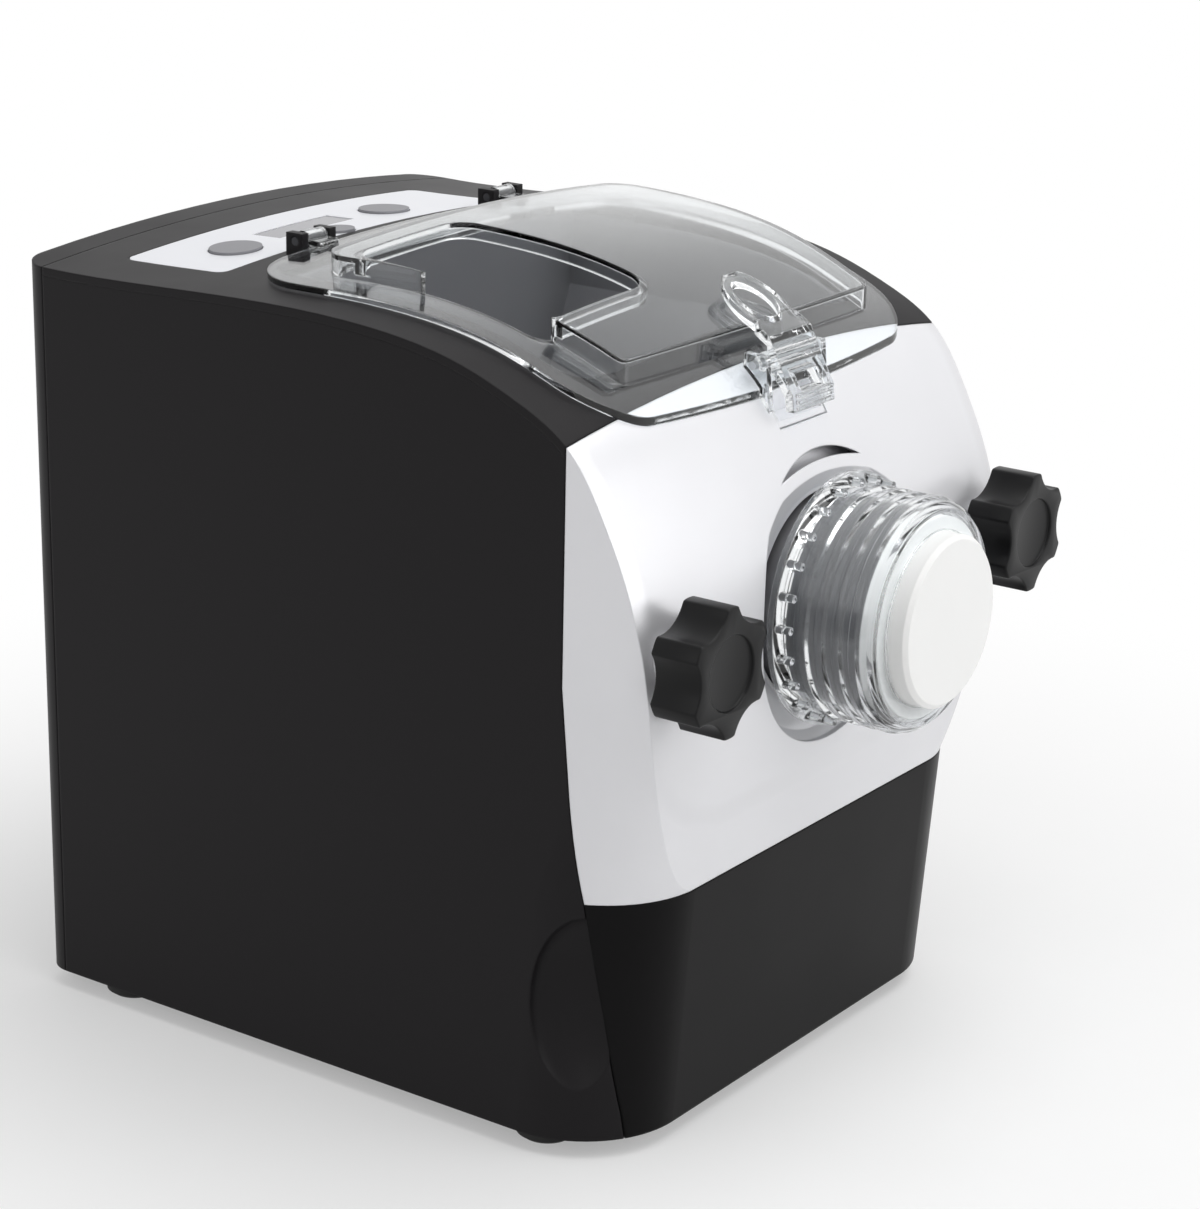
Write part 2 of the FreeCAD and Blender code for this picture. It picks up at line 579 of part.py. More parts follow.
# Mixing paddle, extrusion screw and their coupling, all on the trough's axis.
turned("drive_coupling", [("0", "0"), ("9", "0"), ("9", "7"), ("14", "7"), ("14", "14"), ("0", "14")],
       "0", "chamber_rear_y + 3", "axis_z", "-Y")
paddle_parts = [rod("0", "chamber_rear_y - 11.5", "axis_z", "-Y", "8", "120")]
for i in range(4):
    side = 1 if i % 2 == 0 else -1
    at = "chamber_rear_y - %d" % (24 + 26 * i)
    low = "axis_z + 5" if side > 0 else "axis_z - 48"
    paddle_parts.append(box("-4", at + " - 7", low, "8", "9", "43"))
    tip = "axis_z + 43" if side > 0 else "axis_z - 48"
    paddle_parts.append(box("-11", at + " - 9", tip, "22", "13", "5"))
keep(fuse(*paddle_parts), "mixing_paddle")


def screw_flight(pitch, turns, core, rim, thick):
    """A helical blade along +Z, made by carrying its section along a helix."""
    helix = Part.makeHelix(pitch, pitch * turns, core)
    section = Part.makePolygon([Vector(core - 1, 0, -thick / 2), Vector(rim, 0, -thick / 2),
                                Vector(rim, 0, thick / 2), Vector(core - 1, 0, thick / 2),
                                Vector(core - 1, 0, -thick / 2)])
    return Part.Wire(helix.Edges).makePipeShell([section], True, True)


flight = screw_flight(18, 3.6, 10, val("bore_r - 0.6"), 4)
screw_core = Part.makeCylinder(10, 73, Vector(0, 0, -4))
screw = plain(screw_core.fuse(flight), "screw")
screw.Placement = Placement(Vector(0, val("chamber_front_y - 9.5"), val("axis_z")), TURN["-Y"])
keep(screw, "extrusion_screw")
screw_seal = cut(rod("0", "chamber_rear_y + 2.6", "axis_z", "Y", "24", "5"),
                 rod("0", "chamber_rear_y", "axis_z", "Y", "14.3", "20"))
keep(screw_seal, "shaft_seal")


def gear(teeth, module, width, turn):
    """A spur gear with 20 degree involute teeth, thinned a little for backlash."""
    pressure = math.radians(20)
    pitch_r = module * teeth / 2
    base_r = pitch_r * math.cos(pressure)
    root_r = pitch_r - 1.25 * module
    tip_r = pitch_r + 0.95 * module
    slack = 0.05 * module

    def half_angle(r):
        lean = math.acos(min(1.0, base_r / r))
        flank = math.tan(lean) - lean
        pitch_flank = math.tan(pressure) - pressure
        return math.pi / (2 * teeth) - slack / pitch_r + pitch_flank - flank

    first = max(base_r, root_r)
    radii = [first + (tip_r - first) * k / 4 for k in range(5)]
    corners = []
    for tooth in range(teeth):
        middle = 2 * math.pi * tooth / teeth + turn
        side = [(root_r, half_angle(first))] + [(r, half_angle(r)) for r in radii]
        for r, a in side:
            corners.append(Vector(r * math.cos(middle - a), r * math.sin(middle - a), 0))
        for r, a in reversed(side):
            corners.append(Vector(r * math.cos(middle + a), r * math.sin(middle + a), 0))
    wire = Part.makePolygon(corners + corners[:1])
    return Part.Face(wire).extrude(Vector(0, 0, width))


def place_gear(shape, z, y, name):
    item = plain(shape, name)
    item.Placement = Placement(Vector(0, val(y), val(z)), TURN["-Y"])
    return item


few = int(val("pinion_teeth"))
many = int(val("wheel_teeth"))
fast = val("fast_module")
slow = val("slow_module")
up = math.pi / 2
gap_up = up + math.pi / few
IDLER_Z = "motor_z + fast_module * ( pinion_teeth + wheel_teeth ) / 2"
pinion = place_gear(gear(few, fast, 12, gap_up), "motor_z", "gear_rear_y - 8", "pinion")
motor_bore = rod("0", "-20", "motor_z", "Y", "4", "180")
keep(cut(pinion, motor_bore), "motor_pinion")
wheel = place_gear(gear(many, fast, 8, up), IDLER_Z, "gear_rear_y - 10", "wheel")
small = place_gear(gear(few, slow, 15, gap_up), IDLER_Z, "gear_rear_y - 18", "small")
idler = fuse(wheel, small, rod("0", "gear_rear_y - 18.2", IDLER_Z, "Y", "9", "16"))
keep(cut(idler, rod("0", "gear_front_y - 5", IDLER_Z, "Y", "3.04", "60")), "idler_gear")
big = place_gear(gear(many, slow, 12, up), "axis_z", "gear_rear_y - 19.5", "big")
keep(cut(big, rod("0", "gear_front_y - 5", "axis_z", "Y", "7", "60")), "output_gear")
keep(rod("0", "chamber_rear_y + 3", "axis_z", "Y", "7", "gear_rear_y - chamber_rear_y - 6"), "output_shaft")
keep(rod("0", "gear_front_y", IDLER_Z, "Y", "3", "gear_rear_y - gear_front_y + 2"), "idler_pin")

# Gearbox: an open plastic case and its rear cover, with bores for the shafts.
case_outline = [("-40", "foot_height + wall_t"), ("40", "foot_height + wall_t"), ("58", "130"),
                ("58", "238"), ("-58", "238"), ("-58", "130")]
case_run = "gear_rear_y - gear_front_y"
case = prism("XZ_Plane", case_outline, case_run, y="( gear_front_y + gear_rear_y ) / 2")
hollow_outline = [("-37", "foot_height + wall_t + 3"), ("37", "foot_height + wall_t + 3"), ("55", "130.5"),
                  ("55", "235"), ("-55", "235"), ("-55", "130.5")]
hollow = prism("XZ_Plane", hollow_outline, case_run, y="( gear_front_y + gear_rear_y ) / 2 + 4")
shaft_bores = [rod("0", "60", "axis_z", "Y", "7.05", "100"), rod("0", "60", "motor_z", "Y", "4.2", "65")]
pin_bore = rod("0", "60", IDLER_Z, "Y", "3", "65")
keep(cut(case, hollow, pin_bore, *shaft_bores), "gearbox_case")
case_cover = prism("XZ_Plane", case_outline, "3", y="gear_rear_y + 1.5")
keep(cut(case_cover, rod("0", "gear_rear_y - 1", IDLER_Z, "Y", "3", "20")), "gearbox_cover")
cover_screws = [rod(x, "gear_rear_y + 3", z, "Y", "3", "2") for x in ("-52", "52") for z in ("134", "232")]
keep(fuse(*screw_heads, *cover_screws), "case_screws")

# Motor below the trough: can, windings, end bells, rotor, shaft and fan.
can = cut(rod("0", "motor_front_y + 8", "motor_z", "Y", "motor_r", "56"),
          rod("0", "motor_front_y", "motor_z", "Y", "motor_r - 5", "90"))
keep(can, "motor_can")
windings = cut(rod("0", "motor_front_y + 12", "motor_z", "Y", "motor_r - 5", "48"),
               rod("0", "motor_front_y", "motor_z", "Y", "motor_r - 14", "90"))
keep(windings, "motor_windings")
keep(cut(rod("0", "motor_front_y + 16", "motor_z", "Y", "motor_r - 14.6", "40"), motor_bore), "motor_rotor")
keep(rod("0", "motor_front_y - 4", "motor_z", "Y", "4", "gear_rear_y - motor_front_y + 3.5"), "motor_shaft")
bells = []
for y in ("motor_front_y + 2", "motor_front_y + 64"):
    disc = rod("0", y, "motor_z", "Y", "motor_r", "6")
    bells.append(cut(disc, rod("0", "-20", "motor_z", "Y", "4.05", "140")))
keep(fuse(*bells), "motor_bells")
fan_blades = [rod("0", "motor_front_y - 3.4", "motor_z", "Y", "8", "5")]
for i in range(8):
    angle = 45 * i
    blade = box("0", "0", "0", "18", "5", "1.4")
    blade.Placement = Placement(Vector(0, 0, 0), Rotation(Vector(0, 1, 0), angle))
    turn = math.radians(angle)
    put(blade, "%.3f" % (6 * math.cos(turn)), "motor_front_y - 3.4", "motor_z - %.3f" % (6 * math.sin(turn)))
    fan_blades.append(blade)
keep(cut(fuse(*fan_blades), rod("0", "-20", "motor_z", "Y", "4", "60")), "cooling_fan")
saddle = box("-38", "motor_front_y + 14", "foot_height + wall_t", "76", "44", "40")
saddle = cut(saddle, rod("0", "motor_front_y", "motor_z", "Y", "motor_r", "90"))
keep(saddle, "motor_mount")

# Power board on the side wall, and the switch that the closed lid holds down.
BOARD_X = "half_width - wall_t - 1.6"
board = box(BOARD_X, "10", "30", "1.6", "120", "80")
relay = box(BOARD_X + " - 8", "24", "44", "8", "18", "14")
choke = box(BOARD_X + " - 12", "60", "60", "12", "22", "22")
keep(fuse(board, relay, choke), "power_board")
keep(box("93.5", "44", "deck_z - 15.3", "6.5", "14", "14"), "lid_switch")

doc.recompute()
for item in doc.Objects:
    if "Invalid" in item.State or "Error" in item.State:
        raise RuntimeError("%s did not build: %s" % (item.Label, item.State))
for item in PARTS:
    if item.Shape.isNull() or not item.Shape.isValid():
        raise RuntimeError(item.Label + " has no valid shape")
os.makedirs("parts", exist_ok=True)
for item in PARTS:
    item.Shape.exportStep("parts/" + item.Label + ".step")
print(len(PARTS), "pieces written")
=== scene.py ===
import bpy
import math
from mathutils import Matrix, Vector


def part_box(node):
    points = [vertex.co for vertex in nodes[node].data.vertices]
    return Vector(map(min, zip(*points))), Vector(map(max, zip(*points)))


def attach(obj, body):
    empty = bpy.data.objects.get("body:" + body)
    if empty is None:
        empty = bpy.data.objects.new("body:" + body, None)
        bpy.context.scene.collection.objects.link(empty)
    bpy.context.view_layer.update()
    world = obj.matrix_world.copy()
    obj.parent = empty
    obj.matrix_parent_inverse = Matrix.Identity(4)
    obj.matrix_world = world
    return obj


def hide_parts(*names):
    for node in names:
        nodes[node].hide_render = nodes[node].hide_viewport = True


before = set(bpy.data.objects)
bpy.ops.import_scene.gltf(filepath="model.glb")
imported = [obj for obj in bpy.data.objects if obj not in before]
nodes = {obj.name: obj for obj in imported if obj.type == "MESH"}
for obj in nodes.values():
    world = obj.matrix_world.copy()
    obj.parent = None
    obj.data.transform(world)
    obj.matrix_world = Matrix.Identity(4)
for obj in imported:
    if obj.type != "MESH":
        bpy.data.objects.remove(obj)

MM = 0.001
QUARTER_TURN = math.radians(90)
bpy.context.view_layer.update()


def deselect():
    """Leaves nothing selected."""
    bpy.ops.object.select_all(action="DESELECT")


# The curve between sRGB values and linear ones.
SRGB_KNEE = 0.04045
SRGB_SLOPE = 12.92
SRGB_OFFSET = 0.055
SRGB_POWER = 2.4


def shade(hex_code):
    """A colour written as an sRGB hex value, turned to the linear values that shaders use."""
    def channel(text):
        value = int(text, 16) / 255
        if value <= SRGB_KNEE:
            return value / SRGB_SLOPE
        return ((value + SRGB_OFFSET) / (1 + SRGB_OFFSET)) ** SRGB_POWER
    return tuple(channel(hex_code[i:i + 2]) for i in (1, 3, 5)) + (1.0,)


def add(tree, kind, settings=None, links=None):
    """Adds a node, sets its sockets and properties, and links its inputs."""
    node = tree.nodes.new(kind)
    for name, value in (settings or {}).items():
        if name in node.inputs:
            node.inputs[name].default_value = value
        else:
            setattr(node, name, value)
    for name, source in (links or {}).items():
        tree.links.new(source, node.inputs[name])
    return node


def material(name):
    """A new material and its node tree, with nothing in it."""
    made = bpy.data.materials.new(name)
    made.use_nodes = True
    made.node_tree.nodes.clear()
    return made, made.node_tree


def close(tree, surface):
    """Ends a material's tree in its output."""
    add(tree, "ShaderNodeOutputMaterial", {}, {"Surface": surface})


def own_place(tree):
    """Coordinates that are fixed to the piece, in metres."""
    return add(tree, "ShaderNodeTexCoord").outputs["Object"]


def noise(tree, width, detail, roughness=0.5):
    """Soft noise whose spots are about that wide, in metres."""
    settings = {"Scale": 1 / width, "Detail": detail, "Roughness": roughness}
    spots = add(tree, "ShaderNodeTexNoise", settings, {"Vector": own_place(tree)})
    return spots.outputs["Fac"]


def blend(tree, share, low, high):
    """Mixes two colours by a share between nought and one."""
    mixed = add(tree, "ShaderNodeMix", {"data_type": "RGBA"}, {"Factor": share})
    mixed.inputs["A"].default_value = shade(low)
    mixed.inputs["B"].default_value = shade(high)
    return mixed.outputs["Result"]


def between(tree, share, low, high):
    """Turns a share between nought and one into a value between two others."""
    spread = add(tree, "ShaderNodeMapRange", {"To Min": low, "To Max": high}, {"Value": share})
    return spread.outputs["Result"]


def smooth_step(tree, value, start, end, first, last):
    """Goes softly from the first result to the last while the value goes from start to end."""
    settings = {"interpolation_type": "SMOOTHSTEP", "From Min": start, "From Max": end,
                "To Min": first, "To Max": last}
    step = add(tree, "ShaderNodeMapRange", settings, {"Value": value})
    return step.outputs["Result"]


def rounded_edges(tree, radius, samples):
    """The normal of a surface whose edges are rounded in the shading."""
    return add(tree, "ShaderNodeBevel", {"samples": samples, "Radius": radius}).outputs["Normal"]


def bumped(tree, height, strength, depth, links=None):
    """The normal of a surface with relief on it. The links may hold the normal underneath."""
    settings = {"Strength": strength, "Distance": depth}
    relief = add(tree, "ShaderNodeBump", settings, {"Height": height, **(links or {})})
    return relief.outputs["Normal"]


def larger(tree, first, second):
    """The larger of two values."""
    node = add(tree, "ShaderNodeMath", {"operation": "MAXIMUM"})
    tree.links.new(first, node.inputs[0])
    tree.links.new(second, node.inputs[1])
    return node.outputs["Value"]


def length(tree, vector):
    """How long a vector is."""
    node = add(tree, "ShaderNodeVectorMath", {"operation": "LENGTH"})
    tree.links.new(vector, node.inputs[0])
    return node.outputs["Value"]


def mix_shaders(tree, share, first, second):
    """The first shader where the share is nought, and the second where it is one."""
    node = add(tree, "ShaderNodeMixShader", {}, {"Fac": share})
    tree.links.new(first, node.inputs[1])
    tree.links.new(second, node.inputs[2])
    return node.outputs["Shader"]


# Moulded plastic: the width of its colour patches, the depth of its grain, how far its roughness
# strays to either side, the roughness of a clear coat, and the refractive index of ABS.
DRIFT_WIDTH = 38 * MM
GRAIN_DEPTH = 0.05 * MM
MOULDED_SMOOTHER = 0.05
MOULDED_ROUGHER = 0.06
COAT_ROUGHNESS = 0.2
ABS_IOR = 1.53


def moulded(name, low, high, roughness, grain_mm, bump, rounding_mm,
            ior=ABS_IOR, metallic=0.0, coat=0.0, shine=0.5):
    """Moulded plastic: a fine spark-eroded grain, slow colour drift and softened edges."""
    made, tree = material(name)
    drift = noise(tree, DRIFT_WIDTH, detail=3.0)
    grain = noise(tree, grain_mm * MM, detail=2.0, roughness=0.6)
    edges = rounded_edges(tree, rounding_mm * MM, samples=6)
    settings = {"IOR": ior, "Metallic": metallic, "Coat Weight": coat, "Coat Roughness": COAT_ROUGHNESS,
                "Specular IOR Level": shine}
    links = {"Base Color": blend(tree, drift, low, high),
             "Roughness": between(tree, drift, roughness - MOULDED_SMOOTHER, roughness + MOULDED_ROUGHER),
             "Normal": bumped(tree, grain, bump, GRAIN_DEPTH, {"Normal": edges})}
    skin = add(tree, "ShaderNodeBsdfPrincipled", settings, links)
    close(tree, skin.outputs["BSDF"])
    return made


# Clear plastic: the width, strength and depth of its flow marks, the rounding of its edges and its haze.
FLOW_WIDTH = 16 * MM
FLOW_STRENGTH = 0.05
FLOW_DEPTH = 0.4 * MM
CLEAR_ROUNDING = 0.7 * MM
HAZE = 0.03


def clear_moulding(name, tint, roughness, ior):
    """Clear moulded plastic: glassy, with faint flow marks and a little haze. Light shines through it."""
    made, tree = material(name)
    flow = noise(tree, FLOW_WIDTH, detail=1.0)
    edges = rounded_edges(tree, CLEAR_ROUNDING, samples=4)
    settings = {"Base Color": shade(tint), "IOR": ior, "Transmission Weight": 1.0}
    links = {"Roughness": between(tree, flow, roughness, roughness + HAZE),
             "Normal": bumped(tree, flow, FLOW_STRENGTH, FLOW_DEPTH, {"Normal": edges})}
    glass = add(tree, "ShaderNodeBsdfPrincipled", settings, links)
    through = add(tree, "ShaderNodeBsdfTransparent", {"Color": shade(tint)})
    rays = add(tree, "ShaderNodeLightPath")
    close(tree, mix_shaders(tree, rays.outputs["Is Shadow Ray"], glass.outputs["BSDF"],
                            through.outputs["BSDF"]))
    return made


# Metal: the strength and depth of its tool lines, how many radians a wave takes, the width of its
# colour spots, and how far its roughness strays to either side.
LINE_STRENGTH = 0.15
LINE_DEPTH = 0.03 * MM
WAVE_RADIANS = 6.283
SPOT_WIDTH = 9 * MM
METAL_SMOOTHER = 0.06
METAL_ROUGHER = 0.08


def turned_metal(name, low, high, roughness, line_mm):
    """Turned or drawn metal: fine tool lines that stretch the highlights."""
    made, tree = material(name)
    wave = {"Scale": 1 / (WAVE_RADIANS * line_mm * MM), "Distortion": 2.0, "Detail": 2.0,
            "bands_direction": "Y"}
    lines = add(tree, "ShaderNodeTexWave", wave, {"Vector": own_place(tree)})
    spots = noise(tree, SPOT_WIDTH, detail=4.0)
    links = {"Base Color": blend(tree, spots, low, high),
             "Roughness": between(tree, spots, roughness - METAL_SMOOTHER, roughness + METAL_ROUGHER),
             "Normal": bumped(tree, lines.outputs["Fac"], LINE_STRENGTH, LINE_DEPTH)}
    skin = add(tree, "ShaderNodeBsdfPrincipled", {"Metallic": 1.0}, links)
    close(tree, skin.outputs["BSDF"])
    return made


# The raised pad of the silver front: its half width, the height of its chin, the radius of its corners,
# half the width of the step round it and the height of that step.
PAD_HALF = 112 * MM
PAD_CHIN = 119 * MM
PAD_CORNER = 50 * MM
PAD_STEP = 5 * MM
PAD_RISE = 1.2 * MM


def raised_pad(finish):
    """Gives a lacquered front its soft raised pad, with a step down both sides and round a low chin."""
    tree = finish.node_tree
    skin = [node for node in tree.nodes if node.type == "BSDF_PRINCIPLED"][0]
    grain = skin.inputs["Normal"].links[0].from_socket
    place = add(tree, "ShaderNodeSeparateXYZ", {}, {"Vector": own_place(tree)})
    aside = add(tree, "ShaderNodeMath", {"operation": "ABSOLUTE"})
    tree.links.new(place.outputs["X"], aside.inputs[0])
    over = add(tree, "ShaderNodeMath", {"operation": "SUBTRACT"})
    tree.links.new(aside.outputs["Value"], over.inputs[0])
    over.inputs[1].default_value = PAD_HALF - PAD_CORNER
    under = add(tree, "ShaderNodeMath", {"operation": "SUBTRACT"})
    under.inputs[0].default_value = PAD_CHIN + PAD_CORNER
    tree.links.new(place.outputs["Z"], under.inputs[1])
    corner = add(tree, "ShaderNodeCombineXYZ", {}, {"X": over.outputs["Value"], "Y": under.outputs["Value"]})
    outside = add(tree, "ShaderNodeVectorMath", {"operation": "MAXIMUM"})
    tree.links.new(corner.outputs["Vector"], outside.inputs[0])
    away = length(tree, outside.outputs["Vector"])
    pad = smooth_step(tree, away, PAD_CORNER - PAD_STEP, PAD_CORNER + PAD_STEP, 1.0, 0.0)
    tree.links.new(bumped(tree, pad, 1.0, PAD_RISE, {"Normal": grain}), skin.inputs["Normal"])


# Satin black ABS, moulded with a fine spark grain: soft broad highlights, no mirror.
satin_black_abs = moulded("satin_black_abs", "#131113", "#161416",
                          roughness=0.44, grain_mm=0.9, bump=0.25, rounding_mm=1.2, shine=0.14)
# The same ABS on the drawer, with a smoother skin.
drawer_black_abs = moulded("drawer_black_abs", "#080708", "#0b0a0b",
                           roughness=0.36, grain_mm=0.9, bump=0.15, rounding_mm=1.2, shine=0.08)
# Black PP of the inner mouldings.
matt_black_pp = moulded("matt_black_pp", "#1b1b1c", "#222223",
                        roughness=0.55, grain_mm=0.7, bump=0.3, rounding_mm=0.5)
# ABS sprayed with fine silver lacquer under a clear coat: bright, soft and slightly metallic.
silver_lacquer = moulded("silver_lacquer", "#dcdcdf", "#e1e1e4",
                         roughness=0.36, grain_mm=0.5, bump=0.08, rounding_mm=0.8, metallic=0.3, coat=0.1)
raised_pad(silver_lacquer)
# Pale pearl lacquer on the control panel.
pearl_panel = moulded("pearl_panel", "#e2e3e8", "#e9eaee",
                      roughness=0.38, grain_mm=0.5, bump=0.08, rounding_mm=0.4, metallic=0.1)
# Silicone keys.
grey_silicone = moulded("grey_silicone", "#828286", "#8c8c90",
                        roughness=0.5, grain_mm=0.6, bump=0.2, rounding_mm=0.6, ior=1.42)
# Smoked window of the display, which is off.
smoked_window = moulded("smoked_window", "#86868b", "#8e8e93",
                        roughness=0.18, grain_mm=4.0, bump=0.02, rounding_mm=0.3, ior=1.58)
# Glossier black ABS of the star knobs.
knob_abs = moulded("knob_abs", "#0b0b0c", "#0f0f10",
                   roughness=0.33, grain_mm=0.8, bump=0.12, rounding_mm=0.5, shine=0.16)
# White acetal of the shaping disc, and of the screw, paddle and seal inside.
white_acetal = moulded("white_acetal", "#ececeb", "#f1f1f0",
                       roughness=0.36, grain_mm=0.8, bump=0.06, rounding_mm=0.8, ior=1.48)
# Grey polycarbonate of the mixing chamber.
grey_polycarbonate = moulded("grey_polycarbonate", "#626265", "#6c6c6f",
                             roughness=0.34, grain_mm=0.8, bump=0.1, rounding_mm=0.8, ior=1.58)
# Grey glass-filled nylon of the extrusion barrel.
barrel_nylon = moulded("barrel_nylon", "#59595b", "#646467",
                       roughness=0.42, grain_mm=0.6, bump=0.2, rounding_mm=0.6)
# Rubber of the feet.
foot_rubber = moulded("foot_rubber", "#161616", "#1d1d1d",
                      roughness=0.75, grain_mm=0.5, bump=0.4, rounding_mm=0.8, ior=1.52)
# Natural nylon of the gears.
gear_nylon = moulded("gear_nylon", "#ddd6c4", "#e5dfce",
                     roughness=0.42, grain_mm=0.8, bump=0.1, rounding_mm=0.3)
# Epoxy circuit board under green solder mask.
circuit_board = moulded("circuit_board", "#12532c", "#1a6035",
                        roughness=0.3, grain_mm=1.4, bump=0.2, rounding_mm=0.2)
# Clear polycarbonate, moulded and polished.
clear_polycarbonate = clear_moulding("clear_polycarbonate", "#f7f9fa", roughness=0.02, ior=1.50)
# Zinc-plated steel.
zinc_steel = turned_metal("zinc_steel", "#a9abae", "#b9bbbe", roughness=0.30, line_mm=0.4)
# Steel under black zinc, for the hinge pins and knob washers.
black_zinc = turned_metal("black_zinc", "#3c3c3e", "#48484a", roughness=0.38, line_mm=0.4)
# Turned brass.
turned_brass = turned_metal("turned_brass", "#c29a4a", "#d0aa5c", roughness=0.28, line_mm=0.35)
# Enamelled copper wire.
copper_wire = turned_metal("copper_wire", "#a2582f", "#b86a3b", roughness=0.35, line_mm=0.8)
# Die-cast aluminium, bead-blasted.
cast_aluminium = turned_metal("cast_aluminium", "#a8a9ab", "#b5b6b8", roughness=0.42, line_mm=1.6)

FINISHES = {
    satin_black_abs: ["side_panel_left", "side_panel_right", "top_deck", "rear_cover"],
    drawer_black_abs: ["drawer_front"],
    matt_black_pp: ["drawer_tray", "drawer_runners", "base_plate", "gearbox_case", "gearbox_cover",
                    "power_inlet", "motor_mount", "cooling_fan", "lid_switch"],
    barrel_nylon: ["extrusion_barrel"],
    silver_lacquer: ["front_fascia", "latch_strike"],
    pearl_panel: ["control_panel"],
    grey_silicone: ["button_left", "button_right", "button_middle", "button_switches"],
    smoked_window: ["display_window", "display_module"],
    knob_abs: ["knob_left", "knob_right"],
    white_acetal: ["shaping_disc", "extrusion_screw", "mixing_paddle", "shaft_seal"],
    grey_polycarbonate: ["mixing_chamber"],
    foot_rubber: ["foot_front_left", "foot_front_right", "foot_rear_left", "foot_rear_right"],
    gear_nylon: ["idler_gear", "output_gear"],
    circuit_board: ["control_board", "power_board"],
    clear_polycarbonate: ["lid", "latch_lever", "die_nut"],
    black_zinc: ["hinge_pins", "knob_washer_left", "knob_washer_right"],
    zinc_steel: ["front_studs", "case_screws", "latch_pin", "motor_shaft", "motor_rotor",
                 "idler_pin", "output_shaft", "motor_can", "drive_coupling"],
    turned_brass: ["knob_insert_left", "knob_insert_right", "motor_pinion"],
    copper_wire: ["motor_windings"],
    cast_aluminium: ["front_frame", "motor_bells"],
}


def dress(piece, finish):
    """Gives a piece one finish and no other."""
    piece.data.materials.clear()
    piece.data.materials.append(finish)


for finish, names in FINISHES.items():
    for name in names:
        dress(nodes[name], finish)


def take(piece):
    """Makes one piece the active and only selected one."""
    deselect()
    piece.select_set(True)
    bpy.context.view_layer.objects.active = piece


def settle(piece):
    """Puts a piece's place into its mesh, so that its object sits at the origin."""
    take(piece)
    bpy.ops.object.transform_apply(location=True, rotation=True, scale=True)


def work(piece, kind, **settings):
    """Adds a modifier and applies it."""
    modifier = piece.modifiers.new(kind.lower(), kind)
    for name, value in settings.items():
        setattr(modifier, name, value)
    take(piece)
    bpy.ops.object.modifier_apply(modifier=modifier.name)


# Edges sharper than the first angle are rounded. Edges flatter than the second are shaded smooth.
BEVEL_ANGLE = math.radians(38)
SMOOTH_ANGLE = math.radians(40)


def soften(piece, width, segments):
    """Rounds a piece's sharp edges and shades it smooth."""
    work(piece, "BEVEL", width=width, segments=segments, limit_method="ANGLE", angle_limit=BEVEL_ANGLE)
    take(piece)
    bpy.ops.object.shade_smooth_by_angle(angle=SMOOTH_ANGLE)


# The star knobs: their reach, the scallops between their lobes, the hole for the brass thread, the dish
# in the face, the rounding of the edges, and how many sides each round tool has.
KNOB_REACH = 22 * MM
KNOB_SIDES = 72
SCALLOPS = 6
SCALLOP_RADIUS = 13.5 * MM
SCALLOP_RING = 31 * MM
SCALLOP_SIDES = 48
SLEEVE_RADIUS = 6.2 * MM
SLEEVE_DEPTH = 14 * MM
SLEEVE_SIDES = 24
DISH_RADIUS = 12.6 * MM
DISH_DEPTH = 1.2 * MM
DISH_SIDES = 48
KNOB_ROUNDING = 0.8 * MM
# After the cuts, points this close are merged and edges this flat are dissolved.
MERGE_WITHIN = 0.35 * MM
FLAT_WITHIN = math.radians(1)


def bar(radius, depth, centre, sides):
    """A round bar along Y."""
    deselect()
    bpy.ops.mesh.primitive_cylinder_add(vertices=sides, radius=radius, depth=depth, location=centre,
                                        rotation=(QUARTER_TURN, 0, 0))
    return bpy.context.object


def star_knob(side, parent):
    """A six-lobed hand knob: rounded edges, a shallow dish in its face and a hole for its brass thread."""
    low, high = (Vector(corner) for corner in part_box("knob_" + side))
    centre = (low + high) / 2
    depth = high.y - low.y
    knob = bar(KNOB_REACH, depth, centre, KNOB_SIDES)
    knob.name = "star_knob_" + side
    settle(knob)
    rear = Vector((centre.x, high.y, centre.z))
    face = Vector((centre.x, low.y, centre.z))
    tools = [bar(SLEEVE_RADIUS, 2 * SLEEVE_DEPTH, rear, SLEEVE_SIDES),
             bar(DISH_RADIUS, 2 * DISH_DEPTH, face, DISH_SIDES)]
    for i in range(SCALLOPS):
        angle = 2 * math.pi * i / SCALLOPS
        spot = centre + SCALLOP_RING * Vector((math.cos(angle), 0, math.sin(angle)))
        tools.append(bar(SCALLOP_RADIUS, 3 * depth, spot, SCALLOP_SIDES))
    for tool in tools:
        work(knob, "BOOLEAN", operation="DIFFERENCE", object=tool, solver="EXACT")
        bpy.data.objects.remove(tool)
    take(knob)
    bpy.ops.object.mode_set(mode="EDIT")
    bpy.ops.mesh.select_all(action="SELECT")
    bpy.ops.mesh.remove_doubles(threshold=MERGE_WITHIN)
    bpy.ops.mesh.dissolve_limited(angle_limit=FLAT_WITHIN)
    bpy.ops.mesh.normals_make_consistent(inside=False)
    bpy.ops.object.mode_set(mode="OBJECT")
    soften(knob, KNOB_ROUNDING, segments=3)
    dress(knob, knob_abs)
    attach(knob, parent)
    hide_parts("knob_" + side)


star_knob("left", "knob_left")
star_knob("right", "knob_right")

# The cone ring behind the dish. Its wide end is at the rear and its narrow end at the front.
BACKING_OUTER = 53 * MM
BACKING_INNER = 38 * MM
BACKING_FRONT = -101.3 * MM
BACKING_REAR = -96.6 * MM
BACKING_THICKNESS = 1.6 * MM
BACKING_ROUNDING = 0.3 * MM
BACKING_SIDES = 96
# The height of the nut's axis.
AXIS_HEIGHT = 179 * MM


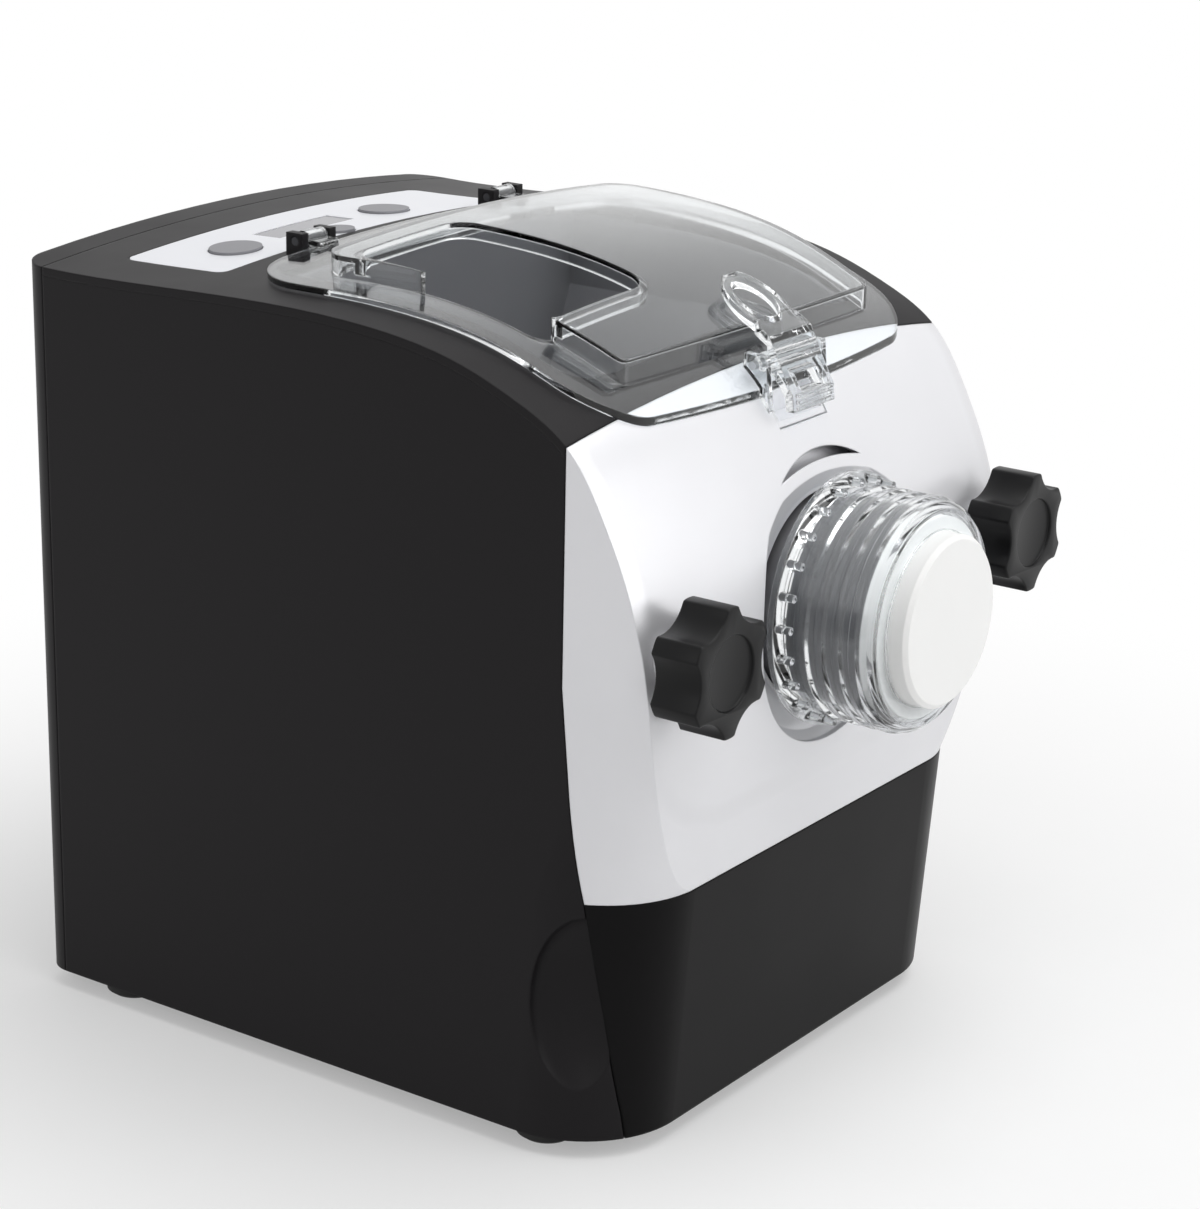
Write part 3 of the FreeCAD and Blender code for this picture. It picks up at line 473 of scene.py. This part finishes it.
def dish_backing():
    """A lacquered cone ring behind the dish, seen through the gap above the nut."""
    deselect()
    bpy.ops.mesh.primitive_cone_add(vertices=BACKING_SIDES, radius1=BACKING_OUTER, radius2=BACKING_INNER,
                                    depth=BACKING_REAR - BACKING_FRONT, end_fill_type="NOTHING",
                                    location=(0, (BACKING_REAR + BACKING_FRONT) / 2, AXIS_HEIGHT),
                                    rotation=(QUARTER_TURN, 0, 0))
    ring = bpy.context.object
    ring.name = "dish_backing"
    settle(ring)
    work(ring, "SOLIDIFY", thickness=BACKING_THICKNESS, offset=-1.0)
    soften(ring, BACKING_ROUNDING, segments=2)
    dress(ring, silver_lacquer)
    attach(ring, "housing")


dish_backing()

# The camera stands in front and to the left of the machine, a little above it, with a long lens.
# It comes from a fit to the photograph, which is 1209 pixels along its longer side. Places are in
# metres, and the sensor in millimetres.
AZIMUTH = math.radians(-54.81)
ELEVATION = math.radians(17.9)
ROLL = math.radians(1.185)
DISTANCE = 1.176
LOOK_AT = Vector((0, 0, 0.140))
SHIFT_RIGHT = 0.0121
SHIFT_UP = 0.0124
FOCAL_PIXELS = 3207
PHOTO_LONG_SIDE = 1209
SENSOR_WIDTH = 36
NEAR_LIMIT = 0.05
FAR_LIMIT = 20


def photo_camera():
    """The camera that took the photograph."""
    backward = Vector((math.sin(AZIMUTH) * math.cos(ELEVATION), -math.cos(AZIMUTH) * math.cos(ELEVATION),
                       math.sin(ELEVATION)))
    level_right = (-backward).cross(Vector((0, 0, 1))).normalized()
    level_up = level_right.cross(-backward)
    right = math.cos(ROLL) * level_right + math.sin(ROLL) * level_up
    up = math.cos(ROLL) * level_up - math.sin(ROLL) * level_right
    eye = LOOK_AT + SHIFT_RIGHT * right + SHIFT_UP * up + DISTANCE * backward
    lens = bpy.data.cameras.new("camera")
    lens.lens = SENSOR_WIDTH * FOCAL_PIXELS / PHOTO_LONG_SIDE
    lens.sensor_width = SENSOR_WIDTH
    lens.clip_start = NEAR_LIMIT
    lens.clip_end = FAR_LIMIT
    camera = bpy.data.objects.new("camera", lens)
    bpy.context.scene.collection.objects.link(camera)
    turn = Matrix((right, up, backward)).transposed()
    camera.matrix_world = Matrix.Translation(eye) @ turn.to_4x4()
    bpy.context.scene.camera = camera


photo_camera()


def lamp(name, where, aim, power, size):
    """A softbox that faces its aim. Places and sizes are in metres, and the power is in watts."""
    light = bpy.data.lights.new(name, "AREA")
    light.shape = "RECTANGLE"
    light.size, light.size_y = size
    light.energy = power
    holder = bpy.data.objects.new(name, light)
    bpy.context.scene.collection.objects.link(holder)
    way = Vector(aim) - Vector(where)
    turn = way.to_track_quat("-Z", "Y").to_matrix()
    holder.matrix_world = Matrix.Translation(Vector(where)) @ turn.to_4x4()


lamp("softbox_over", where=(0.1, -0.4, 1.5), aim=(0, 0, 0.15), power=13, size=(1.4, 1.2))
lamp("softbox_front", where=(0.5, -1.5, 0.7), aim=(0, 0, 0.16), power=7, size=(1.0, 1.0))
lamp("softbox_left", where=(-1.5, 0.1, 0.8), aim=(0, 0, 0.15), power=2.5, size=(0.8, 1.2))


def background_rays(tree):
    """One for rays from the camera, a reflection or clear plastic, and nought for the light itself."""
    rays = add(tree, "ShaderNodeLightPath")
    mirrored = larger(tree, rays.outputs["Is Camera Ray"], rays.outputs["Is Glossy Ray"])
    return larger(tree, mirrored, rays.outputs["Is Transmission Ray"])


# How bright the background is as a light, and how bright it looks.
AMBIENT = 0.4
PAPER = 1.0


def studio():
    """A white background that looks brighter than it lights."""
    world = bpy.data.worlds.new("studio")
    bpy.context.scene.world = world
    world.use_nodes = True
    tree = world.node_tree
    tree.nodes.clear()
    ambient = add(tree, "ShaderNodeBackground", {"Color": shade("#ffffff"), "Strength": AMBIENT})
    paper = add(tree, "ShaderNodeBackground", {"Color": shade("#ffffff"), "Strength": PAPER})
    choice = mix_shaders(tree, background_rays(tree), ambient.outputs["Background"],
                         paper.outputs["Background"])
    add(tree, "ShaderNodeOutputWorld", {}, {"Surface": choice})


studio()
bpy.context.scene.view_settings.view_transform = "Standard"

# The table: its side in metres, the width of the patches in its paint and its roughness. Away from the
# machine it fades into the white of the background. The fade starts and ends at these distances, in
# metres, and begins with this share of white.
TABLE_SIDE = 6
PATCH_WIDTH = 60 * MM
TABLE_ROUGHNESS = 0.7
FADE_START = 0.16
FADE_END = 0.55
LEAST_WHITE = 0.35


def table():
    """Pale painted board, white where the light falls and grey in the machine's shadow."""
    deselect()
    bpy.ops.mesh.primitive_plane_add(size=TABLE_SIDE, location=(0, 0, 0))
    floor = bpy.context.object
    floor.name = "floor"
    board_paint, tree = material("board_paint")
    patches = blend(tree, noise(tree, PATCH_WIDTH, detail=3.0), "#f4f4f4", "#f8f8f8")
    paint = add(tree, "ShaderNodeBsdfPrincipled", {"Roughness": TABLE_ROUGHNESS}, {"Base Color": patches})
    fade = smooth_step(tree, length(tree, own_place(tree)), FADE_START, FADE_END, LEAST_WHITE, 1.0)
    share = add(tree, "ShaderNodeMath", {"operation": "MULTIPLY"})
    tree.links.new(background_rays(tree), share.inputs[0])
    tree.links.new(fade, share.inputs[1])
    white = add(tree, "ShaderNodeEmission", {"Color": shade("#ffffff"), "Strength": PAPER})
    close(tree, mix_shaders(tree, share.outputs["Value"], paint.outputs["BSDF"], white.outputs["Emission"]))
    floor.data.materials.append(board_paint)


table()
